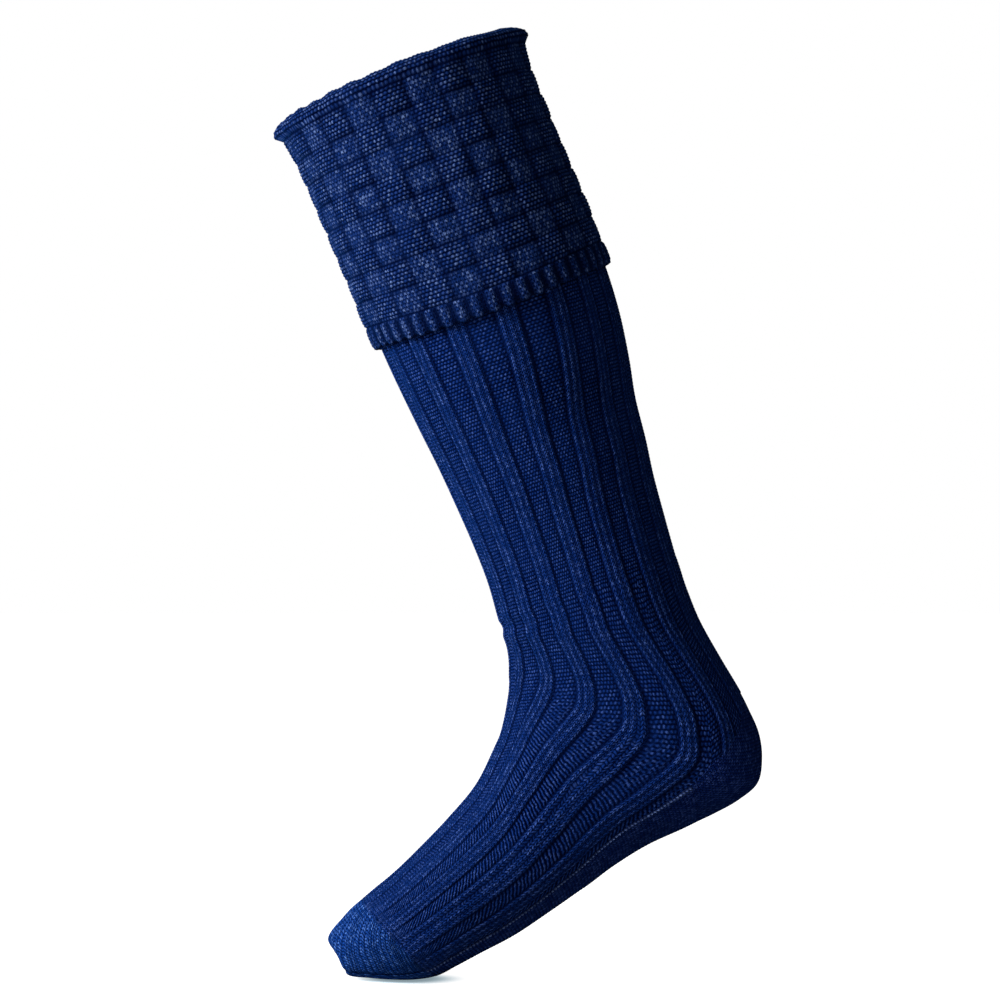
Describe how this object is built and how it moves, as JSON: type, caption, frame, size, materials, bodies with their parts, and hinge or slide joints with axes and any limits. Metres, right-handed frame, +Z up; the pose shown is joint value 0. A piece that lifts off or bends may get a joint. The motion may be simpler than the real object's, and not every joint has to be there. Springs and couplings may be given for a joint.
{
  "type": "kilt hose sock",
  "caption": "Knee-high ribbed wool sock with a deep basket-knit turned-over cuff, turned heel, plain sole and toe, open at the top for the leg.",
  "frame": {"origin": "centre of the opening at the top fold of the cuff, where the leg goes in", "axes": "+Z up, +X from the toe towards the heel, +Y to the side; the leg leans back over the toe with the heel raised, as worn"},
  "size_m": [0.2655, 0.122, 0.5214],
  "materials": {
    "cuff_knit": "matt wool in a raised basket pattern",
    "rib_knit": "matt wool, narrow knitted ribs with purl panels between them",
    "plain_knit": "matt wool, plain stocking stitch",
    "toe_knit": "matt wool, plain stocking stitch"
  },
  "bodies": {
    "root": {"turnover_cuff": "cuff_knit", "leg": "rib_knit", "instep": "rib_knit", "heel": "plain_knit", "sole": "plain_knit", "toe": "toe_knit"}
  },
  "joints": []
}
